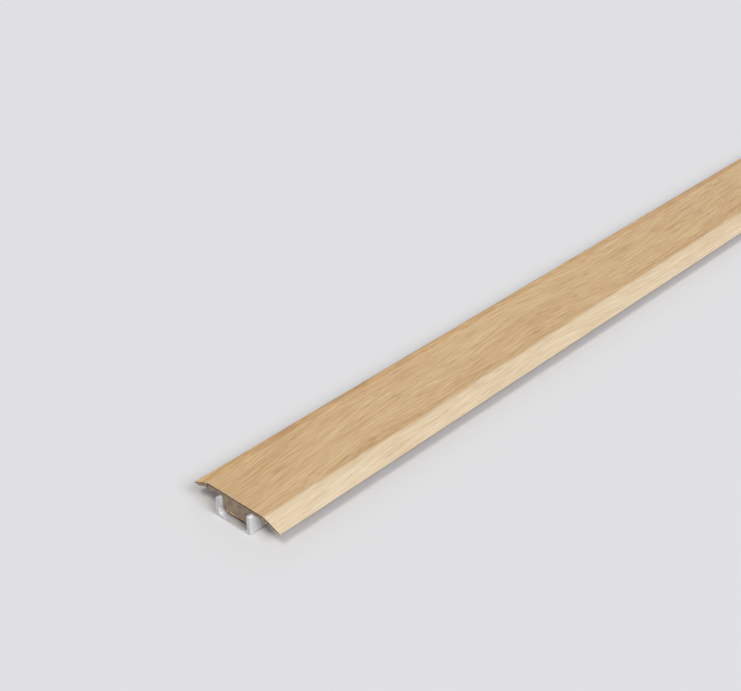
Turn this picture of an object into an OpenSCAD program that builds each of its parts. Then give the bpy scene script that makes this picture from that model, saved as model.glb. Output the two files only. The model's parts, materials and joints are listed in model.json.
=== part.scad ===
// Threshold strip: a wood-look cover with a T section, whose stem is pressed down between the
// serrated arms of an aluminium base rail. The rail is screwed to the floor in the joint between
// two floor coverings, and the cover's wings reach over their edges.
// Lengths are in millimetres and angles in degrees. X runs along the strip, Y across it and Z up.
// The origin is on the floor, in the middle of the whole strip.

/* [Strip] */
// Length of the cover, and of the base rail
strip_len = 900; // [300:10:2700]
// How far the rail stands out past the cover at the -X end
rail_reach = 2; // [0:0.5:6]

/* [Cover] */
// Width over the tips of both wings
cover_w = 48; // [46:0.5:52]
// Height of the flat top above the floor
cover_h = 11.06; // [10.8:0.02:11.6]
// Width of the flat top
top_w = 32; // [31:0.5:34]
// Slope of the wings
wing_slope = 23.4; // [21:0.2:24]
// Radius where the flat top rolls over into a wing
shoulder_r = 8; // [2:0.5:9]
// Height of the wing tips' underside above the floor
lip_z = 7.05; // [6.8:0.05:7.2]
// Width of the flat under each wing tip
lip_flat_w = 3; // [2:0.25:3.25]
// Thickness of the decor foil
decor_t = 0.25; // [0.15:0.05:0.3]
// Thickness of the paper on the core's underside
backing_t = 0.15; // [0.1:0.05:0.2]

/* [Stem] */
// Width of the stem between the rail's arms
stem_w = 14.8; // [14.2:0.1:14.8]
// Height of the stem's foot above the floor
stem_foot_z = 2.7; // [2.4:0.1:3.4]
// Width of the chamfer at each side of the foot
foot_chamfer_w = 1.5; // [1:0.1:2]
// Height of the chamfer
foot_chamfer_h = 1.7; // [1:0.1:2]
// Thickness of the strip of backing board under the foot
foot_strip_t = 0.5; // [0.3:0.1:0.8]

/* [Base rail] */
// Outer width of the rail
rail_w = 19.2; // [19:0.1:20]
// Height of the rail's arms
rail_h = 9; // [8.9:0.05:9.05]
// Thickness of the arms
arm_t = 1.8; // [1.6:0.1:1.8]
// Thickness of the web that lies on the floor
web_t = 1.2; // [1:0.1:1.4]
// Number of serrations inside each arm
tooth_count = 6; // [4:1:6]
// Depth of the serrations
tooth_depth = 0.3; // [0.2:0.05:0.3]

/* [Screw holes] */
// Diameter of the straight part of each hole
hole_d = 4.2; // [3.8:0.1:4.6]
// Diameter of the countersink at the top of the web
sink_d = 5.8; // [5:0.1:6]
// Distance between neighbouring holes
hole_pitch = 160; // [100:10:240]

/* [Hidden] */
$fn = 64;

arc_steps = 12;     // straight steps in each rounded corner of an outline
seat_gap = 0.05;    // air between the arms' tops and the cover when it is pressed right down
sink_angle = 90;    // full angle of the countersinks

cover_x0 = -strip_len / 2 + rail_reach / 2;
rail_x0 = cover_x0 - rail_reach;
rail_mid_x = rail_x0 + strip_len / 2;

// The wing's sloping top and flat underside would meet beyond the tip. A nose that is tangent to
// both ends the wing at half of cover_w.
wedge_y = top_w / 2 + (cover_h - lip_z) / tan(wing_slope);
nose_r = (wedge_y - cover_w / 2) / (1 / tan(wing_slope / 2) - 1);

lip_end_y = cover_w / 2 - lip_flat_w;
notch = [17.6, 8.85];
bulge_z = 7.85;
bulge_out_y = 16.2;
bulge_in_y = 14.6;
plate_end_y = 12;
plate_z = rail_h + seat_gap;

// ---- Outlines -------------------------------------------------------------------------------
// A path is a list of corners [y, z, radius], each rounded with its own radius.

function point(corner) = [corner[0], corner[1]];
function unit(v) = v / norm(v);
function turn(a, b) = a[0] * b[1] - a[1] * b[0];

// The corner at the middle of a, p and b, as points of an arc, or as itself with no radius
function round_corner(a, p, b, r) =
    r <= 0.001 ? [p] :
    let (
        to_a = unit(a - p),
        to_b = unit(b - p),
        half = acos(to_a * to_b) / 2,
        centre = p + unit(to_a + to_b) * r / sin(half),
        from = p + to_a * r / tan(half) - centre,
        sweep = (180 - 2 * half) * (turn(to_a, to_b) > 0 ? -1 : 1),
        start = atan2(from[1], from[0])
    )
    [for (i = [0:arc_steps])
        centre + r * [cos(start + sweep * i / arc_steps), sin(start + sweep * i / arc_steps)]];

// The points of a closed outline of rounded corners
function rounded(path) =
    let (n = len(path))
    [for (i = [0:n - 1])
        each round_corner(point(path[(i + n - 1) % n]), point(path[i]),
                          point(path[(i + 1) % n]), path[i][2])];

// The path moved sideways by d, to the right of its direction
function beside(path, d) =
    let (
        n = len(path),
        dirs = [for (i = [0:n - 2]) unit(point(path[i + 1]) - point(path[i]))],
        sides = [for (v = dirs) [v[1], -v[0]]]
    )
    [for (i = [0:n - 1])
        let (
            s = sides[max(i - 1, 0)],
            t = sides[min(i, n - 2)],
            moved = point(path[i]) + d * (s + t) / (1 + s * t),
            bend = turn(dirs[max(i - 1, 0)], dirs[min(i, n - 2)])
        )
        [moved[0], moved[1], path[i][2] == 0 ? 0 : path[i][2] + (bend < 0 ? -d : d)]];

function reversed(list) = [for (i = [len(list) - 1:-1:0]) list[i]];
function mirrored(path) = [for (c = reversed(path)) [-c[0], c[1], c[2]]];
// A path on the +Y side, joined to its mirror image: the whole runs from -Y to +Y
function across(path) = concat(mirrored(path), path);

// Over the top: from the shoulder, around the wing's nose and under the lip to the notch
skin_path = [
    [top_w / 2, cover_h, shoulder_r],
    [wedge_y, lip_z, nose_r],
    [lip_end_y, lip_z, 0.8],
    [notch[0], notch[1], 0]
];
// Along the underside: from the notch, around the bulge to the root of the stem
under_path = [
    [notch[0], notch[1], 0],
    [bulge_out_y, bulge_z, 0.6],
    [bulge_in_y, bulge_z, 0.8],
    [plate_end_y, plate_z, 1.5],
    [stem_w / 2, plate_z, 0]
];
stem_path = [
    [stem_w / 2, stem_foot_z + foot_chamfer_h, 0.2],
    [stem_w / 2 - foot_chamfer_w, stem_foot_z + foot_strip_t, 0]
];

// ---- Cover ----------------------------------------------------------------------------------

// An outline in Y and Z, drawn out along X
module along(x0) {
    translate([x0, 0, 0])
        rotate([90, 0, 90])
            linear_extrude(strip_len)
                children();
}

// Milled fibreboard core: a flat plate with two wings and the stem
module cover_core() {
    half = concat(beside(skin_path, decor_t), beside(under_path, backing_t), stem_path);
    color("tan")
        along(cover_x0)
            polygon(rounded(across(half)));
}

// Printed foil over the top, wrapped around both wings into the notches under them
module decor_foil() {
    outer = across(skin_path);
    color("burlywood")
        along(cover_x0)
            polygon(rounded(concat(outer, reversed(across(beside(skin_path, decor_t))))));
}

// Paper lining on each side of the stem, from the notch to the stem's root
module underside_paper() {
    lining = concat(under_path, reversed(beside(under_path, backing_t)));
    color("peru")
        along(cover_x0)
            for (side = [0, 1])
                mirror([side, 0])
                    polygon(rounded(lining));
}

// Strip of the board's own backing, left under the stem's foot
module stem_foot_strip() {
    foot_w = stem_w - 2 * foot_chamfer_w;
    color("sandybrown")
        along(cover_x0)
            translate([-foot_w / 2, stem_foot_z])
                square([foot_w, foot_strip_t]);
}

// ---- Base rail ------------------------------------------------------------------------------

tooth_pitch = 0.6;
arm_round = 0.4;    // radius at the inner edge of each arm's top
top_tooth_z = rail_h - arm_round;
channel_y = rail_w / 2 - arm_t;

// Barbs on the inside of one arm, from the top down: each slopes in and ends in a flat underside
function serrations() = [
    for (i = [0:tooth_count - 1])
        let (z = top_tooth_z - i * tooth_pitch)
        each [
            [channel_y, z, 0],
            [channel_y - tooth_depth, z - tooth_pitch * 0.7, 0],
            [channel_y - tooth_depth, z - tooth_pitch * 0.85, 0]
        ]
];

// Half of the channel's inside, from the arm's top down to the web
function channel_inside() = concat(
    serrations(),
    [
        [channel_y, top_tooth_z - tooth_count * tooth_pitch, 0],
        [channel_y, web_t, 1.5]
    ]
);

module countersunk_hole() {
    sink_depth = (sink_d - hole_d) / 2 / tan(sink_angle / 2);
    spare = 1;
    translate([0, 0, -spare])
        cylinder(h = web_t + 2 * spare, d = hole_d);
    translate([0, 0, web_t - sink_depth])
        cylinder(h = sink_depth, d1 = hole_d, d2 = sink_d);
    translate([0, 0, web_t])
        cylinder(h = spare, d = sink_d);
}

// Extruded U section with countersunk screw holes along the middle of its web
module base_rail() {
    half = concat(
        reversed(channel_inside()),
        [
            [channel_y, rail_h, arm_round],
            [rail_w / 2, rail_h, 0.8],
            [rail_w / 2, 0, 0.9]
        ]
    );
    holes_each_way = floor((strip_len / hole_pitch - 1) / 2);
    color("silver")
        difference() {
            along(rail_x0)
                polygon(rounded(concat(half, mirrored(half))));
            for (i = [-holes_each_way - 0.5:holes_each_way + 0.5])
                translate([rail_mid_x + i * hole_pitch, 0, 0])
                    countersunk_hole();
        }
}

base_rail();
cover_core();
decor_foil();
underside_paper();
stem_foot_strip();
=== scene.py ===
"""Looks of the threshold strip: an oak-foiled T profile pressed into an aluminium rail.

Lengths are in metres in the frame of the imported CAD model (X along the strip, Y across it, Z up),
and in millimetres inside the materials. Each piece takes its outline from the flat end of its CAD
node and is drawn out along X again. The saw cuts at both ends are shaped to suit its material.
"""
import json
import math
import random

import bmesh
import bpy
import numpy as np
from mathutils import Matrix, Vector, geometry, noise


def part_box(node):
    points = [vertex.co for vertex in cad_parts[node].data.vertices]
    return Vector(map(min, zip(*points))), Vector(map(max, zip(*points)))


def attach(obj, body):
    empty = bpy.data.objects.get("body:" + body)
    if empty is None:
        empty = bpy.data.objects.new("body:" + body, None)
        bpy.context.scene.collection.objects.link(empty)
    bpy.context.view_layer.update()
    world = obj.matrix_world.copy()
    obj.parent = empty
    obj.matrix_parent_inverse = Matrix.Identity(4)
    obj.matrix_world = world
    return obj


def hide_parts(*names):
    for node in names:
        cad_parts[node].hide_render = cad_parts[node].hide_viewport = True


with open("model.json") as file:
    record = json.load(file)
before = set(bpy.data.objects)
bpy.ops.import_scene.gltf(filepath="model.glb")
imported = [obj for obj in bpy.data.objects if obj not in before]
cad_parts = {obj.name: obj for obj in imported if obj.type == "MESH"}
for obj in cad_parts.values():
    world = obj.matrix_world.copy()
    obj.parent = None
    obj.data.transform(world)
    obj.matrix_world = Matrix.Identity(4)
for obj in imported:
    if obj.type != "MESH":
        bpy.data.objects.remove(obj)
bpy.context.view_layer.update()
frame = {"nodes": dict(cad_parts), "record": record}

MM = 0.001
ENDS = (-1, 1)                      # the ends at low X and at high X

# ---- Meshes ---------------------------------------------------------------------------------

TOUCHING = 1e-6                     # corners closer than this are one corner
END_NORMAL = 0.7                    # a face whose normal points more along X than this is an end
END_STRIP = 0.4 * MM                # length of the first and the last faces along X
STATIONS_PER_BAY = 6                # rings of corners along X
CREASE = 35                         # edges sharper than this (degrees) are not shaded smooth

SHEET_MAP = "sheet"                 # metres along the piece, metres around its outline
BAKE_MAP = "OFBake"                 # atlas for baked textures: a square with sides of 1
BODY_CORNER = (0.005, 0.002)        # the long sides, cut into bays that are stacked upwards
BODY_SIZE = (0.99, 0.86)
BAY_PITCH = 1.02                    # from bay to bay, as a share of a bay's height
END_CORNER = (0.01, 0.89)           # the two ends, side by side
END_SIZE = (0.3, 0.1)
END_PITCH = 0.34
WALL_CORNER = (0.70, 0.89)          # the faces inside the screw holes, in rows of small cells
WALL_PITCH = (0.0028, 0.008)
WALLS_IN_ROW = 100
WALL_SCALE = 2.0                    # most of the atlas that a metre of these faces takes
OFF_OUTLINE = 0.05 * MM             # a face further than this from the outline is in a hole


def end_outlines(node):
    """The closed outlines (y, z) of a CAD node's flat end at low X, anticlockwise seen from +X."""
    mesh = bmesh.new()
    mesh.from_mesh(frame["nodes"][node].data)
    bmesh.ops.remove_doubles(mesh, verts=mesh.verts, dist=TOUCHING)
    low = min(v.co.x for v in mesh.verts)
    caps = [f for f in mesh.faces if all(v.co.x < low + TOUCHING for v in f.verts)]
    in_cap = set(caps)
    after = {}
    for face in caps:
        for corner in face.loops:
            if any(f not in in_cap for f in corner.edge.link_faces):
                after[corner.vert] = corner.link_loop_next.vert
    outlines = []
    while after:
        vert = next(iter(after))
        outline = []
        while vert in after:
            outline.append((vert.co.y, vert.co.z))
            vert = after.pop(vert)
        outlines.append(np.array(outline[::-1]))
    mesh.free()
    return outlines


def divided(outline, step):
    """The outline with its long edges cut into equal pieces of about step."""
    points = []
    for here, there in zip(outline, np.roll(outline, -1, axis=0)):
        count = max(1, round(np.linalg.norm(there - here) / step))
        points += [here + (there - here) * i / count for i in range(count)]
    return np.array(points)


def started_on_top(outline):
    """The outline turned so that it begins at its highest point nearest to the middle."""
    height, off_middle = outline[:, 1], abs(outline[:, 0])
    return np.roll(outline, -np.argmax(height - 0.01 * off_middle), axis=0)


def inside(outline, points, margin):
    """Which points lie inside the outline and further than margin from it."""
    here, there = outline, np.roll(outline, -1, axis=0)
    edge = there - here
    offset = points[:, None, :] - here[None]
    share = np.clip((offset * edge).sum(-1) / (edge ** 2).sum(-1), 0, 1)
    gap = np.linalg.norm(offset - share[..., None] * edge, axis=-1).min(1)
    spans = (here[:, 1] > points[:, None, 1]) != (there[:, 1] > points[:, None, 1])
    rise = np.where(edge[:, 1] == 0, 1, edge[:, 1])
    crossing = here[:, 0] + (points[:, None, 1] - here[:, 1]) * edge[:, 0] / rise
    crossings = (spans & (points[:, None, 0] < crossing)).sum(1)
    return (crossings % 2 == 1) & (gap > margin)


def filling(outline, step, seed):
    """Scattered points, about step apart in staggered rows, that fill the outline."""
    dice = random.Random(seed)
    row_height, jitter = 0.87, 0.25
    low, high = outline.min(0), outline.max(0)
    rows = int((high[1] - low[1]) / (row_height * step)) + 1
    columns = int((high[0] - low[0]) / step) + 2
    points = []
    for row in range(rows):
        for column in range(columns):
            across = column - 0.5 * (row % 2) + dice.uniform(-jitter, jitter)
            upwards = row + dice.uniform(-jitter, jitter)
            points.append((low[0] + across * step, low[1] + upwards * row_height * step))
    points = np.array(points)
    return points[inside(outline, points, 0.5 * step)]


def triangles(outline, extra):
    """Triangles, as indices into outline then extra, that fill the outline."""
    points = [Vector(p) for p in np.concatenate([outline, extra]).tolist()]
    ring = list(range(len(outline)))
    inside_only, same_point = 1, 1e-9
    found = geometry.delaunay_2d_cdt(points, [], [ring], inside_only, same_point)
    faces, origins = found[2], found[3]
    return [[origins[i][0] for i in face] for face in faces]


def drawn_out(name, outlines, x_range, step, cut, bays, grain=0.0, end_shape=None):
    """A mesh of the outlines drawn out along X.

    step is the size of the edges around each outline. cut(y, z, end) gives how deep the saw cut
    lies below the flat end, and bays is how many equal lengths the atlas cuts the piece into.
    grain is the size of the triangles on the ends, or 0 for plain ends, and end_shape(ring) gives
    the outline's points at the very end.
    """
    low, high = x_range
    stations = np.linspace(low, high, bays * STATIONS_PER_BAY + 1)[1:-1].tolist()
    stations = [low + END_STRIP] + stations + [high - END_STRIP]
    verts, faces = [], []
    for outline in outlines:
        ring = divided(outline, step)
        extra = filling(ring, grain, seed=1) if grain else np.zeros((0, 2))
        fill = triangles(ring, extra)
        base = len(verts)
        count = len(ring)
        end_ring = end_shape(ring) if end_shape else ring
        for end, x in zip(ENDS, x_range):
            for y, z in np.concatenate([end_ring, extra]).tolist():
                verts.append((x - end * cut(y, z, end), y, z))
        for x in stations:
            verts += [(x, y, z) for y, z in ring.tolist()]
        cap = count + len(extra)
        starts = [base] + [base + 2 * cap + i * count for i in range(len(stations))] + [base + cap]
        faces += [[base + i for i in reversed(face)] for face in fill]
        faces += [[base + cap + i for i in face] for face in fill]
        for a, b in zip(starts, starts[1:]):
            for i in range(count):
                j = (i + 1) % count
                faces.append([a + i, a + j, b + j, b + i])
    mesh = bpy.data.meshes.new(name)
    mesh.from_pydata(verts, [], faces)
    mesh.validate()
    piece = bpy.data.objects.new(name, mesh)
    bpy.context.scene.collection.objects.link(piece)
    return piece


def is_end(face):
    """Whether the face is part of a saw cut."""
    return abs(face.normal.x) > END_NORMAL


def edge_table(outlines):
    """Where each edge starts, how it runs, its length and its place on the way round them all."""
    starts = np.concatenate(outlines)
    runs = np.concatenate([np.roll(o, -1, axis=0) - o for o in outlines])
    lengths = np.linalg.norm(runs, axis=1)
    return starts, runs, lengths, np.cumsum(lengths) - lengths


def nearest_edge(point, starts, runs, lengths):
    """Which edge is nearest to the point, and how far away it is."""
    offset = point - starts
    share = np.clip((offset * runs).sum(1) / lengths ** 2, 0, 1)
    gaps = np.linalg.norm(offset - share[:, None] * runs, axis=1)
    nearest = int(gaps.argmin())
    return nearest, gaps[nearest]


def wall_cell(corners, number, scale):
    """The places in the atlas of the corners of a face inside a screw hole."""
    away = corners[:, :2] - corners[:, :2].mean(0)
    side = np.where(away[:, 0] > away[:, 1], 1, -1)
    flat = np.stack([np.hypot(*away.T) * side, corners[:, 2]], 1)
    row, column = divmod(number, WALLS_IN_ROW)
    return np.multiply(WALL_PITCH, (column, row)) + WALL_CORNER + (flat - flat.min(0)) * scale


def lay_out(piece, outlines, x_range, bays):
    """Gives the piece its sheet map and its atlas, and returns the whole way round the outlines."""
    mesh = piece.data
    low, high = x_range
    bay = (high - low) / bays
    starts, runs, lengths, places = edge_table(outlines)
    around = lengths.sum()
    co = np.array([v.co for v in mesh.vertices])
    box_low, box_high = co[:, 1:].min(0), co[:, 1:].max(0)
    # the bays' widths or their heights fill their part of the atlas
    scale = min(BODY_SIZE[0] / bay, BODY_SIZE[1] / (bays * around * BAY_PITCH))
    end_scale = min(scale, *(END_SIZE / (box_high - box_low)))
    wall_scale = min(scale, WALL_SCALE)
    walls = 0
    sheet_uv = np.zeros((len(mesh.loops), 2))
    atlas_uv = np.zeros((len(mesh.loops), 2))
    for face in mesh.polygons:
        corners = co[list(face.vertices)]
        middle = corners.mean(0)
        span = slice(face.loop_start, face.loop_start + face.loop_total)
        if is_end(face):
            at_high_x = middle[0] > (low + high) / 2
            corner = (END_CORNER[0] + END_PITCH * at_high_x, END_CORNER[1])
            sheet_uv[span] = corners[:, 1:]
            atlas_uv[span] = (corners[:, 1:] - box_low) * end_scale + corner
            continue
        edge, gap = nearest_edge(middle[1:], starts, runs, lengths)
        if gap > OFF_OUTLINE:
            sheet_uv[span] = corners[:, [0, 2]]
            atlas_uv[span] = wall_cell(corners, walls, wall_scale)
            walls += 1
            continue
        way = places[edge] + (corners[:, 1:] - starts[edge]) @ (runs[edge] / lengths[edge])
        way = np.clip(way, 0, around)
        row = min(int((middle[0] - low) / bay), bays - 1)
        sheet_uv[span] = np.stack([corners[:, 0], way], 1)
        in_bay = np.stack([corners[:, 0] - low - row * bay, row * around * BAY_PITCH + way], 1)
        atlas_uv[span] = in_bay * scale + BODY_CORNER
    for name, uv in ((SHEET_MAP, sheet_uv), (BAKE_MAP, atlas_uv)):
        mesh.uv_layers.new(name=name)
        mesh.uv_layers[name].data.foreach_set("uv", uv.ravel())
    return around


def finished(piece, node, body, materials):
    """Shades the piece, gives it its materials and ties it to the CAD model.

    A second material goes on the saw cuts.
    """
    mesh = piece.data
    for material in materials:
        mesh.materials.append(material)
    if len(materials) > 1:
        for face in mesh.polygons:
            face.material_index = int(is_end(face))
    mesh.shade_smooth()
    mesh.set_sharp_from_angle(angle=math.radians(CREASE))
    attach(piece, body)
    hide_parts(node)


# ---- Materials ------------------------------------------------------------------------------

class Paint:
    """One material under construction. Most methods add a node and return its output."""

    def __init__(self, name):
        self.material = bpy.data.materials.new(name)
        self.material.use_nodes = True
        self.tree = self.material.node_tree
        self.shader = self.tree.nodes["Principled BSDF"]

    def node(self, kind, links, **settings):
        """A new node of a kind, with its settings, and its inputs linked or set as links says."""
        made = self.tree.nodes.new(kind)
        for key, value in settings.items():
            setattr(made, key, value)
        for key, value in links.items():
            self.put(made.inputs[key], value)
        return made

    def put(self, socket, value):
        """Links the socket to another node's output, or sets its own value."""
        if isinstance(value, bpy.types.NodeSocket):
            self.tree.links.new(value, socket)
        elif isinstance(value, tuple) and len(value) == 3 and socket.type == "RGBA":
            socket.default_value = (*value, 1)
        else:
            socket.default_value = value

    def sheet(self):
        """Millimetres along the piece, and around its outline."""
        made = self.node("ShaderNodeUVMap", {}, uv_map=SHEET_MAP)
        return self.vector("SCALE", made.outputs["UV"], scale=1 / MM)

    def place(self):
        """Millimetres in the piece's own frame."""
        made = self.node("ShaderNodeTexCoord", {})
        return self.vector("SCALE", made.outputs["Object"], scale=1 / MM)

    def vector(self, operation, a, b=None, scale=None):
        made = self.node("ShaderNodeVectorMath", {0: a}, operation=operation)
        if b is not None:
            self.put(made.inputs[1], b)
        if scale is not None:
            self.put(made.inputs["Scale"], scale)
        return made.outputs["Vector"]

    def parts(self, vector):
        """The vector's x, y and z."""
        made = self.node("ShaderNodeSeparateXYZ", {0: vector})
        return made.outputs[0], made.outputs[1], made.outputs[2]

    def joined(self, x, y):
        """The vector x, y, 0."""
        return self.node("ShaderNodeCombineXYZ", {0: x, 1: y}).outputs[0]

    def sum(self, operation, a, b=0.0, c=0.0):
        made = self.node("ShaderNodeMath", {0: a, 1: b, 2: c}, operation=operation)
        return made.outputs[0]

    def noise(self, vector, size, detail, rough=0.5, *, seed):
        """Noise from 0 to 1, with features of about size (mm along each axis)."""
        shrunk = self.vector("DIVIDE", vector, size)
        moved = self.vector("ADD", shrunk, (17.3 * seed, 5.1 * seed, 9.7 * seed))
        links = {"Vector": moved, "Scale": 1.0, "Detail": detail, "Roughness": rough}
        made = self.node("ShaderNodeTexNoise", links)
        return made.outputs["Fac"]

    def span(self, value, low, high, to_low=0.0, to_high=1.0, smooth=False):
        """to_low where value is low and to_high where it is high, and no further outside them."""
        links = {"Value": value, "From Min": low, "From Max": high, "To Min": to_low, "To Max": to_high}
        kind = "SMOOTHSTEP" if smooth else "LINEAR"
        made = self.node("ShaderNodeMapRange", links, interpolation_type=kind)
        return made.outputs[0]

    def between(self, value, rise, fall):
        """1 between the ranges rise and fall, and 0 below the first and above the second."""
        up = self.span(value, *rise)
        down = self.span(value, *reversed(fall))
        return self.sum("MULTIPLY", up, down)

    def hill(self, vector, centre, size):
        """1 at centre, falling smoothly to 0 within about twice size (mm along and across)."""
        away = self.vector("SUBTRACT", vector, (*centre, 0))
        away = self.vector("DIVIDE", away, (*size, 1))
        made = self.node("ShaderNodeVectorMath", {0: away, 1: away}, operation="DOT_PRODUCT")
        return self.sum("EXPONENT", self.sum("MULTIPLY", made.outputs["Value"], -1.0))

    def mix(self, factor, a, b):
        """Colour a where factor is 0 and colour b where it is 1."""
        made = self.node("ShaderNodeMix", {}, data_type="RGBA")
        for number, value in ((0, factor), (6, a), (7, b)):
            self.put(made.inputs[number], value)
        return made.outputs[2]

    def bump(self, height, depth):
        """A bump whose height of 1 is depth metres."""
        made = self.node("ShaderNodeBump", {"Height": height, "Distance": depth, "Strength": 1.0})
        return made.outputs["Normal"]

    def finish(self, **inputs):
        """Sets or links the shader's inputs and returns the material."""
        for key, value in inputs.items():
            self.put(self.shader.inputs[key.replace("_", " ")], value)
        return self.material


# The oak print is laid out in mm: along the strip, and across it round the foil from the middle
# of the top, where the near wing is on the low side
WHOLE_LENGTH = 9999
NEAR_BORDER = (-14.1, -15.8)        # where the near wing's pale print, partly painted sheen, starts, and is full
FAR_BORDER = (16.6, 18.2)           # where the far wing's golden print, partly painted light, starts, and is full
PAINTED_LIGHT_LINE = (17.0, 1.7, 1.29)      # painted light on the shaded far shoulder beside the golden print: place, reach, brightness
DARK_LINE = (-13.3, 3.2, -0.18)     # darker beside the pale print: place, reach, change of tone

# Crests in the grain: place along and across, length, width and height
CRESTS = (
    (-465, 6, 45, 26, 3.4), (-378, -8, 40, 10, -2.5), (-262, 0, 35, 30, -3.0),
    (-205, 9, 45, 9, 3.0), (-60, -10, 60, 12, -6.0), (110, 6, 50, 11, 5.0),
    (262, -7, 45, 9, -4.5), (395, 4, 40, 10, 4.0),
)


def grain_flow(p, u, v):
    """How far across the grain each point lies, and the small dark knots beside the crests."""
    wave_length, wave_height, wave_start = 400, -3.0, 6.75
    warps = (((95, 26, 1), 5.0), ((34, 8, 1), 1.3), ((14, 3, 1), 0.15))
    knot_along, knot_across, knot_size = -6, -3.5, (1.8, 0.8)
    plain = p.joined(u, v)
    wave = p.sum("SINE", p.sum("MULTIPLY_ADD", u, 2 * math.pi / wave_length, wave_start))
    flow = p.sum("MULTIPLY_ADD", wave, wave_height, v)
    for seed, (size, height) in enumerate(warps, 1):
        shift = p.sum("SUBTRACT", p.noise(plain, size, 1.0, seed=seed), 0.5)
        flow = p.sum("MULTIPLY_ADD", shift, height, flow)
    knots = 0.0
    for x, y, length, width, height in CRESTS:
        flow = p.sum("MULTIPLY_ADD", p.hill(plain, (x, y), (length, width)), height, flow)
        knot = p.hill(plain, (x + knot_along, y + knot_across), knot_size)
        knots = p.sum("ADD", knots, knot)
    return flow, knots


def oak():
    """Printed oak: strands and fibres that follow a slow wave with crests, over soft bands. Painted
    sheen and painted light lie on the wings.
    """
    p = Paint("oak_print_and_painted_light")
    u, v, _ = p.parts(p.sheet())
    plain = p.joined(u, v)
    flow, knots = grain_flow(p, u, v)
    grain = p.joined(u, flow)

    bands = p.noise(grain, (170, 9, 1), 2.0, 0.45, seed=4)
    rings = p.noise(grain, (75, 1.9, 1), 2.0, 0.5, seed=5)
    strands = p.noise(grain, (22, 0.38, 1), 2.0, 0.5, seed=6)
    fibres = p.noise(grain, (12, 0.30, 1), 3.0, 0.6, seed=7)
    crowd = p.span(p.noise(grain, (40, 3, 1), 1.0, seed=8), 0.30, 0.62)
    pores = p.span(p.noise(grain, (7.5, 0.36, 1), 1.0, seed=9), 0.56, 0.70, smooth=True)
    pores = p.sum("MULTIPLY", pores, crowd)
    flecks = p.span(p.noise(grain, (6.0, 0.45, 1), 1.0, seed=10), 0.58, 0.75, smooth=True)

    tone = p.span(bands, 0.30, 0.70, -0.40, 0.40)
    for part, amount in ((rings, 0.7), (strands, 6.0), (fibres, 5.0)):
        tone = p.sum("MULTIPLY_ADD", p.sum("SUBTRACT", part, 0.5), amount, tone)
    tone = p.sum("MULTIPLY_ADD", knots, -0.9, p.sum("MULTIPLY_ADD", flecks, 0.25, tone))
    place, width, amount = DARK_LINE
    tone = p.sum("MULTIPLY_ADD", p.hill(plain, (0, place), (WHOLE_LENGTH, width)), amount, tone)
    shade = p.span(tone, -1.35, 1.35)

    # the colour of the top, then the wings' pale print with painted sheen and golden print with painted
    # light, with wavy borders
    # painted light: the top's colour is made lighter along the far shoulder, where it turns away from
    # the lamps
    place, width, brightness = PAINTED_LIGHT_LINE
    light = p.hill(plain, (0, place), (WHOLE_LENGTH, width))
    colour = p.mix(shade, (0.495, 0.295, 0.125), (0.745, 0.535, 0.295))
    colour = p.vector("SCALE", colour, scale=p.span(light, 0.0, 1.0, 1.0, brightness))
    border = p.sum("MULTIPLY_ADD", p.noise(plain, (30, 40, 1), 2.0, seed=11), 1.2, v)
    # the near wing's pale print is partly a painted sheen of the lamps on that slope
    pale_print_and_sheen = p.span(border, *NEAR_BORDER, smooth=True)
    colour = p.mix(pale_print_and_sheen, colour, p.mix(shade, (0.610, 0.465, 0.283), (0.780, 0.650, 0.468)))
    patches = p.sum("MULTIPLY_ADD", p.noise(plain, (9, 2.2, 1), 2.0, seed=12), 1.6, tone)
    # the far wing's golden print is partly painted light, made brighter because that slope turns away
    # from the lamps
    deep = p.mix(p.span(patches, -0.55, 2.25), (0.480, 0.224, 0.060), (1.000, 0.655, 0.268))
    colour = p.mix(p.span(border, *FAR_BORDER, smooth=True), colour, deep)
    # the painted sheen on the near wing also washes out its pores
    pore_strength = p.sum("MULTIPLY_ADD", pale_print_and_sheen, -0.3, 0.6)
    colour = p.mix(p.sum("MULTIPLY", pores, pore_strength), colour, (0.340, 0.185, 0.078))

    height = p.sum("MULTIPLY_ADD", pores, -1.0, p.sum("MULTIPLY", fibres, 0.5))
    rough = p.span(tone, -1.0, 1.0, 0.46, 0.38)
    return p.finish(Base_Color=colour, Roughness=rough, Normal=p.bump(height, 0.03 * MM),
                    Specular_IOR_Level=0.4)


def foil_edge():
    """The foil's cut edge: a cream print layer with brown glue on it, least on the near wing."""
    wing_end = (-15.5, -13.5)
    p = Paint("foil_edge")
    place = p.place()
    _, y, _ = p.parts(place)
    spots = p.noise(place, (0.5, 0.5, 0.5), 2.0, seed=2)
    off_near_wing = p.span(y, *wing_end, 0.0, 0.55)
    glue = p.sum("ADD", off_near_wing, p.span(spots, 0.45, 0.60, 0.0, 0.45))
    colour = p.mix(glue, (0.72, 0.60, 0.43), (0.085, 0.055, 0.030))
    return p.finish(Base_Color=colour, Roughness=0.7, Normal=p.bump(spots, 0.03 * MM))


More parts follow.
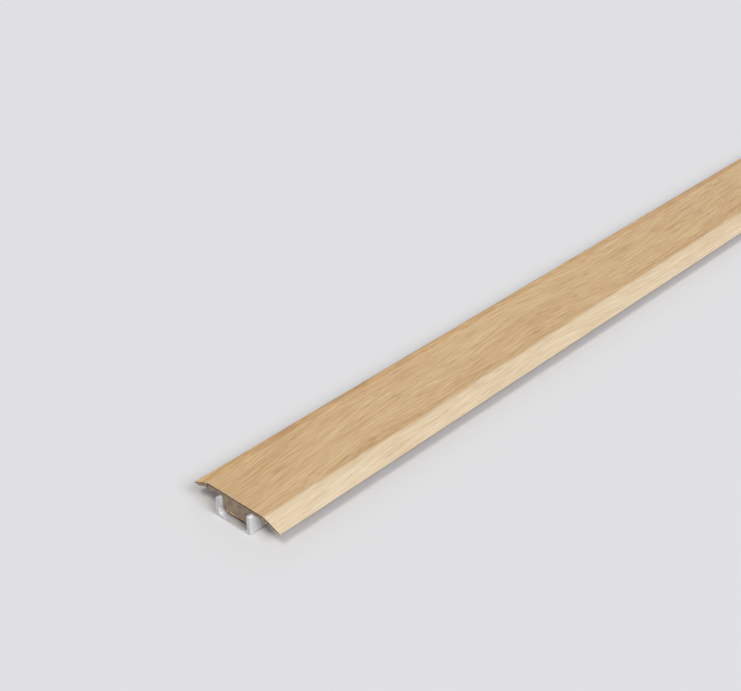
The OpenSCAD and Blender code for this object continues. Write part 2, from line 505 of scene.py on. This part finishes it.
def fibreboard():
    """Milled board: pressed grey-brown fibres, darker under the foil and torn on the wings."""
    wing_start, skin_start = (13, 17), (9.9, 10.6)
    p = Paint("fibreboard")
    place = p.place()
    _, y, z = p.parts(place)
    fibres = p.noise(place, (0.9, 0.55, 0.16), 3.0, 0.65, seed=1)
    tufts = p.noise(place, (0.35, 0.30, 0.22), 2.0, 0.6, seed=2)
    clouds = p.noise(place, (6, 3.0, 1.4), 2.0, 0.5, seed=3)
    tone = p.sum("MULTIPLY_ADD", tufts, 0.6, p.sum("MULTIPLY_ADD", clouds, 0.5, fibres))
    colour = p.mix(p.span(tone, 0.75, 1.35), (0.115, 0.078, 0.050), (0.55, 0.415, 0.29))
    bits = p.span(p.noise(place, (0.5, 0.45, 0.3), 1.0, seed=4), 0.60, 0.70)
    colour = p.mix(p.sum("MULTIPLY", bits, 0.6), colour, (0.035, 0.024, 0.016))
    # the pressed face under the foil is darker, and so are the wings
    wing = p.span(p.sum("ABSOLUTE", y), *wing_start, smooth=True)
    skin = p.span(z, *skin_start, smooth=True)
    shade = p.sum("MAXIMUM", p.sum("MULTIPLY", wing, 0.30), p.sum("MULTIPLY", skin, 0.65))
    colour = p.mix(shade, colour, (0.050, 0.040, 0.027))
    # the wings' thin edges are torn, with cream patches, and scorched black in places
    torn = p.noise(place, (0.9, 0.7, 0.6), 1.0, seed=5)
    cream = p.sum("MULTIPLY", wing, p.span(torn, 0.52, 0.62))
    scorched = p.sum("MULTIPLY", wing, p.span(torn, 0.44, 0.36))
    colour = p.mix(cream, colour, (0.56, 0.42, 0.27))
    colour = p.mix(scorched, colour, (0.030, 0.021, 0.014))
    height = p.sum("MULTIPLY_ADD", tufts, 0.5, fibres)
    return p.finish(Base_Color=colour, Roughness=0.92, Normal=p.bump(height, 0.12 * MM))


def paper(name, dark, light, depth, shaded_below=None):
    """A fibrous paper or board between two colours, with painted shade below a height (mm) if given,
    for a dark gap beneath it.
    """
    p = Paint(name)
    place = p.place()
    clouds = p.noise(place, (9, 4, 4), 3.0, 0.6, seed=1)
    fibres = p.noise(place, (0.8, 0.25, 0.25), 3.0, 0.6, seed=2)
    tone = p.sum("MULTIPLY_ADD", fibres, 0.6, clouds)
    colour = p.mix(p.span(tone, 0.60, 1.05), dark, light)
    if shaded_below:
        _, _, z = p.parts(place)
        ragged = p.span(p.noise(place, (9, 1.3, 1.3), 2.0, seed=3), 0.38, 0.56, -0.25, 0.30)
        # painted shade: near black along the lower edge, standing in for the shadowed gap between the
        # strip and the rail's web
        painted_gap_shade = p.span(p.sum("SUBTRACT", z, ragged), shaded_below, shaded_below - 0.1)
        colour = p.mix(painted_gap_shade, colour, (0.014, 0.009, 0.007))
    return p.finish(Base_Color=colour, Roughness=0.85, Normal=p.bump(fibres, depth))


def aluminium(name, sawn):
    """Mill-finish extrusion with die lines along X, or its sawn end with a speckled, lined face.

    Both have painted shade between the serrations.
    """
    groove_side = ((7.58, 7.74), (7.85, 7.95))
    groove_height = ((4.9, 5.1), (8.4, 8.6))
    p = Paint(name)
    place = p.place()
    _, y, z = p.parts(place)
    blotches = p.noise(place, (14, 5, 5), 3.0, 0.6, seed=1)
    if sawn:
        lines = p.noise(place, (9, 1.6, 0.12), 2.0, 0.6, seed=2)
        specks = p.noise(place, (0.25, 0.25, 0.25), 2.0, 0.7, seed=3)
        colours = ((0.46, 0.46, 0.47), (0.86, 0.86, 0.87))
        roughs = (0.60, 0.42)
        metallic, depth = 0.55, 0.03
    else:
        lines = p.noise(place, (160, 0.13, 0.13), 2.0, 0.6, seed=2)
        specks = p.noise(place, (2.5, 0.2, 0.2), 2.0, 0.6, seed=3)
        colours = ((0.76, 0.77, 0.78), (0.93, 0.93, 0.93))
        roughs = (0.50, 0.34)
        metallic, depth = 0.65, 0.012
    tone = p.sum("MULTIPLY_ADD", specks, 0.5, p.sum("MULTIPLY_ADD", blotches, 0.35, lines))
    tone = p.span(tone, 0.65, 1.20)
    # painted shade: the grooves between the serrations are darkened where little light reaches
    across = p.between(p.sum("ABSOLUTE", y), *groove_side)
    upwards = p.between(z, *groove_height)
    painted_groove_shade = p.sum("MULTIPLY", p.sum("MULTIPLY", across, upwards), 0.6)
    colour = p.mix(painted_groove_shade, p.mix(tone, *colours), (0.16, 0.14, 0.12))
    height = p.sum("MULTIPLY_ADD", specks, 0.5, lines)
    return p.finish(Base_Color=colour, Metallic=metallic, Roughness=p.span(tone, 0.0, 1.0, *roughs),
                    Normal=p.bump(height, depth * MM))


# ---- Pieces ---------------------------------------------------------------------------------

core_low, core_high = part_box("cover_core")
rail_low, rail_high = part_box("base_rail")
strip_low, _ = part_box("stem_foot_strip")
cover_x = (core_low.x, core_high.x)
rail_x = (rail_low.x, rail_high.x)

# Chips knocked out of the lips by the saw: y, z, radius, depth (mm) and which end
CHIPS = (
    (-22.9, 7.25, 0.55, 0.30, -1), (-21.4, 7.55, 0.45, 0.35, -1), (-19.6, 8.0, 0.35, 0.18, -1),
    (22.7, 7.30, 0.55, 0.35, -1), (21.2, 7.40, 0.40, 0.25, -1), (18.4, 8.7, 0.30, 0.15, -1),
    (-22.4, 7.35, 0.50, 0.30, 1), (21.9, 7.30, 0.60, 0.25, 1), (-18.2, 8.6, 0.30, 0.20, 1),
)


def chip_depth(y, z, end):
    """How deep the chips are at a point of the cut."""
    depth = 0
    for chip_y, chip_z, radius, deep, chip_end in CHIPS:
        if chip_end == end:
            away = math.hypot(y / MM - chip_y, z / MM - chip_z) / radius
            depth = max(depth, deep * math.exp(-away ** 2))
    return depth * MM


def lumps(y, z, size, slice_at):
    """Smooth noise about 0, with lumps of about size (mm across and upwards)."""
    return noise.noise(Vector((y / (size[0] * MM), z / (size[1] * MM), slice_at)))


def fibre_cut(y, z, end):
    """Depth of the fibreboard's rough saw cut."""
    tufts = 0.035 * lumps(y, z, (0.30, 0.22), 4.7 * end)
    waves = 0.03 * lumps(y, z, (1.8, 0.9), 9.1 * end)
    return chip_depth(y, z, end) + (0.05 + tufts + waves) * MM


def skin_cut(y, z, end):
    """Depth of the cut through the foil and the papers."""
    frays = 0.010 * lumps(y, z, (0.6, 0.6), 2.3 * end)
    return chip_depth(y, z, end) + (0.012 + frays) * MM


def flat_cut(y, z, end):
    """Depth of the rail's clean cut."""
    return 0.0


def eased_rim(ring):
    """The rail's outline at its very end, with its rim eased except between the serrations."""
    depth = 0.08 * MM
    inner_side, serration_foot = 7.9 * MM, 4 * MM
    along = np.roll(ring, -1, axis=0) - np.roll(ring, 1, axis=0)
    along /= np.linalg.norm(along, axis=1)[:, None]
    inwards = np.stack([-along[:, 1], along[:, 0]], 1)
    serrated = (abs(ring[:, 0]) < inner_side) & (ring[:, 1] > serration_foot)
    return ring + inwards * np.where(serrated, 0, depth)[:, None]


def frayed(ring):
    """The foot strip's outline at its very end, with its lower edge torn up in places."""
    lower_edge, tear_width, tear_height = 0.1 * MM, 0.8 * MM, 0.3 * MM
    low = ring[:, 1].min()
    noise_row = (3.3, 0.7)
    tears = [max(0.0, noise.noise(Vector((y / tear_width, *noise_row)))) for y in ring[:, 0]]
    lift = np.where(ring[:, 1] < low + lower_edge, np.array(tears) * tear_height, 0.0)
    return ring + np.stack([np.zeros(len(ring)), lift], 1)


def screw_holes():
    """The middle (x) and the radius of each screw hole in the record's bolt patterns."""
    holes = []
    for mount in frame["record"]["mounts"]:
        if mount["kind"] == "bolt_pattern":
            dims = mount["dims"]
            for side in ENDS:
                x = mount["pos_m"][0] + side * dims["spacing_x_mm"] * MM / 2
                holes.append((x, dims["hole_r_mm"] * MM))
    return sorted(holes)


def drill(piece):
    """Cuts the countersunk screw holes down through the rail's web."""
    sink_r, web_top, spare = 2.9 * MM, 1.2 * MM, 2 * MM
    sides = 64
    verts, faces = [], []
    for x, hole_r in screw_holes():
        profile = ((hole_r, -spare), (hole_r, web_top - (sink_r - hole_r)), (sink_r, web_top),
                   (sink_r, web_top + spare))
        base = len(verts)
        last_row = base + (len(profile) - 1) * sides
        for radius, z in profile:
            for k in range(sides):
                turn = 2 * math.pi * k / sides
                verts.append((x + radius * math.cos(turn), radius * math.sin(turn), z))
        for row in range(base, last_row, sides):
            for k in range(sides):
                a = row + k
                b = row + (k + 1) % sides
                faces.append([a, b, b + sides, a + sides])
        faces.append([base + k for k in reversed(range(sides))])
        faces.append([last_row + k for k in range(sides)])
    mesh = bpy.data.meshes.new("drill")
    mesh.from_pydata(verts, [], faces)
    tool = bpy.data.objects.new("drill", mesh)
    bpy.context.scene.collection.objects.link(tool)
    cut = piece.modifiers.new("holes", "BOOLEAN")
    cut.operation, cut.solver, cut.object = "DIFFERENCE", "EXACT", tool
    graph = bpy.context.evaluated_depsgraph_get()
    drilled = bpy.data.meshes.new_from_object(piece.evaluated_get(graph))
    piece.modifiers.clear()
    piece.data = drilled
    bpy.data.objects.remove(tool)


def make_foil():
    """The oak foil over the top and round both wing tips."""
    step, bays = 0.5 * MM, 4
    outlines = [started_on_top(divided(end_outlines("decor_foil")[0], step))]
    piece = drawn_out("oak_foil", outlines, cover_x, step, skin_cut, bays)
    around = lay_out(piece, outlines, cover_x, bays)
    # the print is measured from the middle of the top: the far wing counts up, the near one down
    sheet = piece.data.uv_layers[SHEET_MAP].data
    for face in piece.data.polygons:
        if is_end(face):
            continue
        corners = list(face.loop_indices)
        on_far_half = sum(sheet[i].uv.y for i in corners) > len(corners) * around / 2
        for i in corners:
            sheet[i].uv.y = (around if on_far_half else 0.0) - sheet[i].uv.y
    finished(piece, "decor_foil", "cover", [oak(), foil_edge()])


def make_core():
    """The fibreboard core, with fine triangles on its ends for the rough cut."""
    bays = 3
    outlines = end_outlines("cover_core")
    piece = drawn_out("cover_board", outlines, cover_x, 0.4 * MM, fibre_cut, bays, grain=0.22 * MM)
    lay_out(piece, outlines, cover_x, bays)
    finished(piece, "cover_core", "cover", [fibreboard()])


def make_papers():
    """The kraft paper on both sides of the stem."""
    bays = 6
    outlines = end_outlines("underside_paper")
    piece = drawn_out("wing_papers", outlines, cover_x, 0.4 * MM, skin_cut, bays)
    lay_out(piece, outlines, cover_x, bays)
    kraft = paper("kraft_paper", (0.20, 0.160, 0.118), (0.40, 0.335, 0.262), 0.02 * MM)
    finished(piece, "underside_paper", "cover", [kraft])


def make_foot_strip():
    """The orange-brown strip under the stem, with painted shade along its lower side for the shadowed
    gap beneath it.
    """
    bays = 8
    outlines = end_outlines("stem_foot_strip")
    piece = drawn_out("foot_strip", outlines, cover_x, 0.12 * MM, skin_cut, bays, end_shape=frayed)
    lay_out(piece, outlines, cover_x, bays)
    dark, light = (0.72, 0.36, 0.13), (1.00, 0.72, 0.40)
    # how far (mm) the painted shade of the gap reaches up the strip's lower side
    gap_shade_height = 0.15
    shaded_below = strip_low.z / MM + gap_shade_height
    board = paper("backing_board", dark, light, 0.03 * MM, shaded_below)
    finished(piece, "stem_foot_strip", "cover", [board])


def make_rail():
    """The aluminium rail, with its screw holes."""
    bays = 4
    outlines = [started_on_top(o) for o in end_outlines("base_rail")]
    piece = drawn_out("rail_extrusion", outlines, rail_x, 1.0 * MM, flat_cut, bays,
                      end_shape=eased_rim)
    drill(piece)
    lay_out(piece, outlines, rail_x, bays)
    finished(piece, "base_rail", "rail",
             [aluminium("rail_sides", False), aluminium("rail_sawn", True)])


# ---- Studio ---------------------------------------------------------------------------------

def aim(obj, direction):
    """Turns a camera or light so that it looks along direction."""
    obj.rotation_euler = Vector(direction).to_track_quat("-Z", "Y").to_euler()


def add_camera():
    """A view from in front of the near end and 32 degrees above it, along the strip."""
    from_near_end = Vector((-0.2821, -0.3295, 0.3468))
    heading, pitch = math.radians(42.62), math.radians(31.73)
    data = bpy.data.cameras.new("camera")
    data.lens, data.sensor_width = 69.1, 36.0
    data.clip_start, data.clip_end = 0.01, 50
    camera = bpy.data.objects.new("camera", data)
    camera.location = Vector((core_low.x, 0, 0)) + from_near_end
    aim(camera, (math.cos(heading) * math.cos(pitch), math.sin(heading) * math.cos(pitch),
                 -math.sin(pitch)))
    bpy.context.scene.collection.objects.link(camera)
    bpy.context.scene.camera = camera


def add_lamp(name, towards, strength, spread, colour):
    """A distant softbox seen in the direction towards, spread degrees across."""
    data = bpy.data.lights.new(name, "SUN")
    data.energy, data.angle, data.color = strength, math.radians(spread), colour
    lamp = bpy.data.objects.new(name, data)
    aim(lamp, -Vector(towards))
    bpy.context.scene.collection.objects.link(lamp)


def add_world(colour, strength):
    """Even light from all round."""
    world = bpy.data.worlds.new("studio")
    world.use_nodes = True
    background = world.node_tree.nodes["Background"]
    background.inputs["Color"].default_value = (*colour, 1)
    background.inputs["Strength"].default_value = strength
    bpy.context.scene.world = world


def add_floor(colour):
    """A plain floor, so wide that its rim lies on the horizon."""
    bpy.ops.mesh.primitive_plane_add(size=160, location=(0, 0, 0))
    floor = bpy.context.object
    floor.name = "floor"
    floor.data.materials.append(Paint("floor").finish(Base_Color=colour, Roughness=0.9))


make_foil()
make_core()
make_papers()
make_foot_strip()
make_rail()
add_camera()
add_floor((0.745, 0.742, 0.745))
add_world((0.94, 0.98, 1.07), 0.25)
add_lamp("key", (-0.42, -0.22, 0.88), 1.18, 18, (1.03, 1.01, 0.92))
add_lamp("fill", (-0.09, -0.75, 0.655), 1.87, 34, (0.985, 0.987, 1.05))
add_lamp("back", (0.62, 0.57, 0.53), 0.25, 50, (1, 1, 1))
bpy.context.scene.view_settings.view_transform = "Standard"
